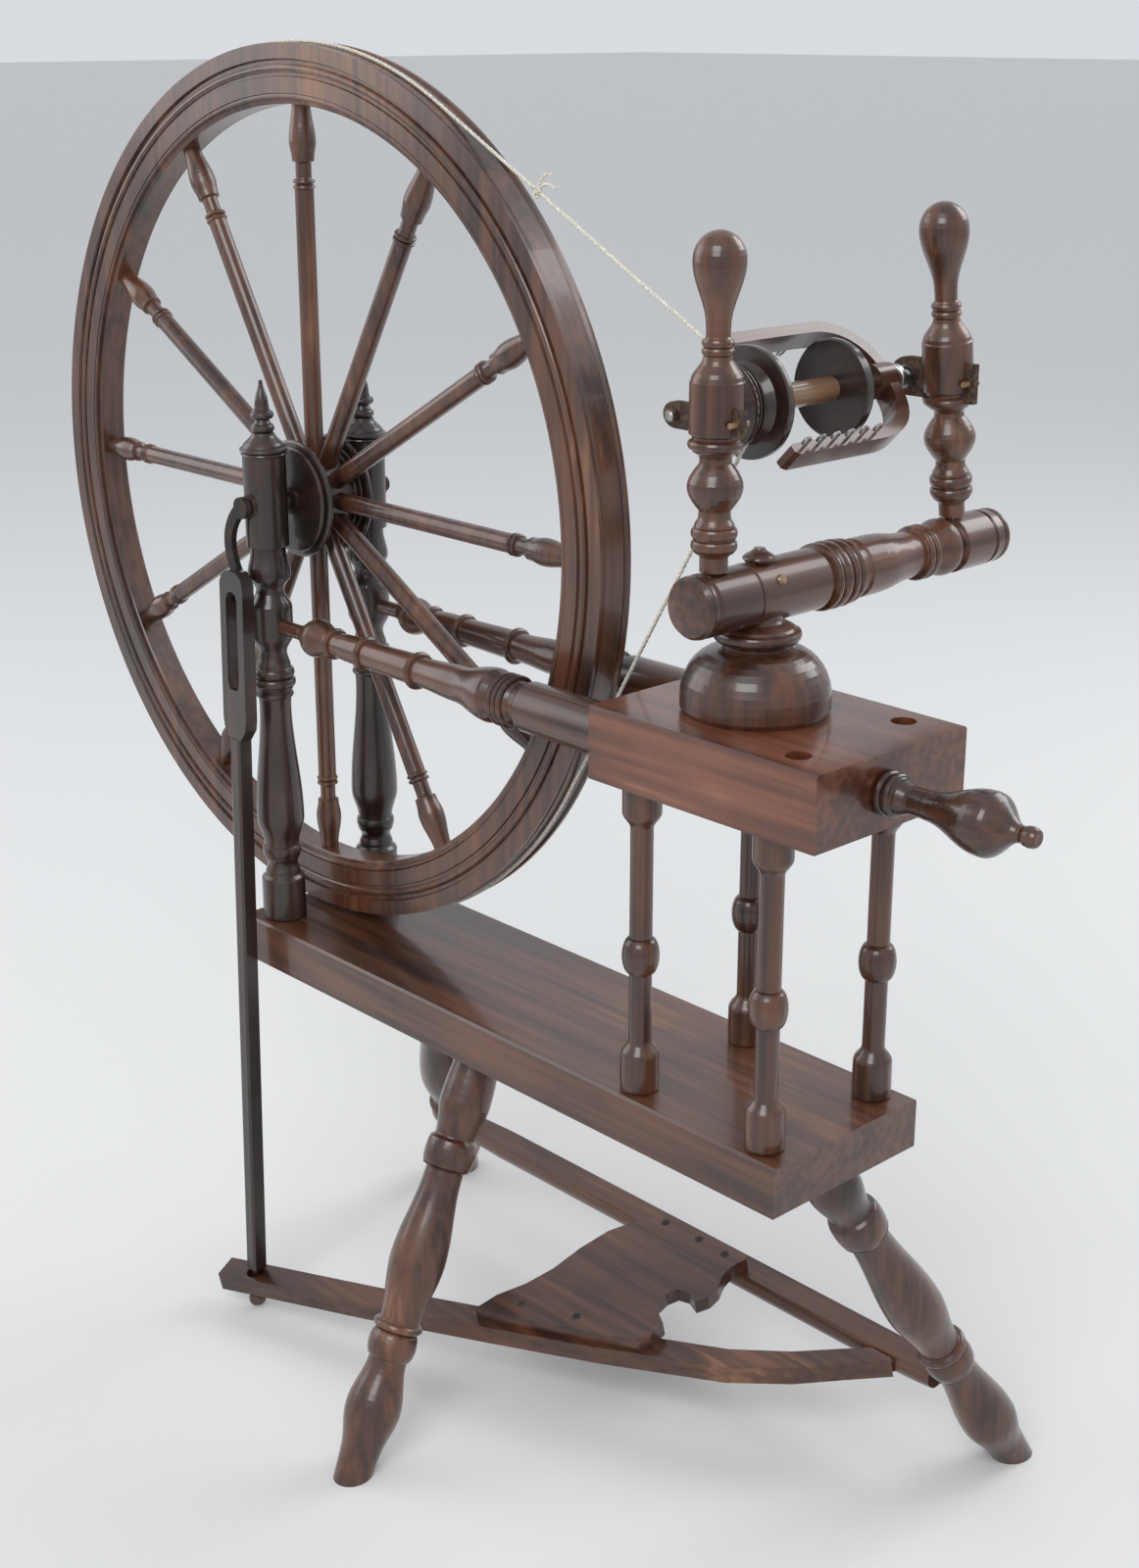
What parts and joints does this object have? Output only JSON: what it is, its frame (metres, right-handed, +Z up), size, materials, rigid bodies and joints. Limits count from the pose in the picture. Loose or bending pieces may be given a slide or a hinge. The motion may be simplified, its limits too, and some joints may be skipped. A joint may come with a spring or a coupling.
{
  "type": "spinning wheel",
  "caption": "Flyer spinning wheel on two tables joined by turned spindles, with a treadle, a footman, a spoked drive wheel and a sliding mother-of-all.",
  "frame": {"origin": "on the floor under the middle of the bounding box", "axes": "+X along the tables from the wheel to the tension screw, +Y from the crank side to the far side, +Z up"},
  "size_m": [0.86, 0.3617, 0.8587],
  "materials": {
    "brown_wood": "old glossy varnish",
    "red_wood": "old glossy varnish, worn edges",
    "dark_wood": "dark polished",
    "pale_wood": "worn bare wood",
    "iron": "forged, darkened",
    "steel": "worn bright",
    "leather": "oiled",
    "cord": "twisted cotton"
  },
  "bodies": {
    "frame": {"lower_table": "brown_wood", "upper_table": "red_wood", "leg_a": "brown_wood", "leg_b": "brown_wood", "leg_c": "brown_wood", "spindle_near_left": "brown_wood", "spindle_near_right": "brown_wood", "spindle_far_left": "brown_wood", "spindle_far_right": "brown_wood", "wheel_post_near": "dark_wood", "wheel_post_far": "dark_wood", "post_cap_near": "dark_wood", "post_cap_far": "dark_wood", "axle_bush_near": "leather", "axle_bush_far": "leather", "stay_near": "brown_wood", "stay_far": "brown_wood", "screw_keeper": "brown_wood", "drive_band": "cord"},
    "wheel": {"felloe_1": "brown_wood", "felloe_2": "brown_wood", "felloe_3": "brown_wood", "felloe_4": "brown_wood", "spokes": "brown_wood", "hub": "dark_wood", "crank_axle": "iron"},
    "treadle": {"treadle_rail": "brown_wood", "treadle_arm": "brown_wood", "treadle_board": "brown_wood", "treadle_nails": "iron", "rail_pins": "iron"},
    "footman_rod": {"footman": "dark_wood", "footman_peg": "brown_wood"},
    "head": {"dome_base": "brown_wood", "bar": "brown_wood", "bar_peg": "pale_wood", "post_button": "brown_wood", "maiden_far": "brown_wood", "leather_far": "leather", "wedge_far": "pale_wood"},
    "near_collar": {"end_collar": "brown_wood", "maiden_near": "brown_wood", "leather_near": "leather", "wedge_near": "pale_wood"},
    "screw": {"tension_screw": "brown_wood"},
    "flyer": {"flyer_arms": "brown_wood", "flyer_hooks": "steel", "flyer_spindle": "steel", "orifice_tube": "steel", "flyer_whorl": "dark_wood"},
    "bobbin": {"bobbin_whorl": "dark_wood", "bobbin_core": "pale_wood", "bobbin_flange": "dark_wood"}
  },
  "joints": [
    {"name": "wheel_spin", "type": "hinge", "parent": "frame", "child": "wheel", "pos_m": [-0.1492, -0.0204, 0.577], "axis": [0, 1, 0], "continuous": true},
    {"name": "treadle_rock", "type": "hinge", "parent": "frame", "child": "treadle", "pos_m": [0.0508, 0.1076, 0.067], "axis": [-1, 0, 0], "range_deg": [0, 31.5]},
    {"name": "footman_swing", "type": "hinge", "parent": "treadle", "child": "footman_rod", "pos_m": [-0.1492, -0.0994, 0.023], "axis": [-1, 0, 0], "range_deg": [-33, 0]},
    {"name": "tension_slide", "type": "slide", "parent": "frame", "child": "head", "axis": [1, 0, 0], "range_m": [-0.02, 0.02], "deforming": ["drive_band"]},
    {"name": "screw_turn", "type": "hinge", "parent": "frame", "child": "screw", "pos_m": [0.3508, -0.0264, 0.498], "axis": [1, 0, 0], "range_deg": [-905, 905]},
    {"name": "flyer_spin", "type": "hinge", "parent": "head", "child": "flyer", "pos_m": [0.2128, -0.0204, 0.679], "axis": [0, 1, 0], "continuous": true},
    {"name": "bobbin_spin", "type": "hinge", "parent": "flyer", "child": "bobbin", "pos_m": [0.2128, 0.0296, 0.679], "axis": [0, 1, 0], "continuous": true},
    {"name": "collar_pull", "type": "slide", "parent": "head", "child": "near_collar", "axis": [0, -1, 0], "range_m": [0, 0.03]}
  ],
  "couplings": [
    {"joint": "footman_swing", "follows": "treadle_rock", "ratio": -1.03},
    {"joint": "screw_turn", "follows": "tension_slide", "rad_per_m": 785.4},
    {"joint": "flyer_spin", "follows": "wheel_spin", "ratio": 13.01}
  ]
}
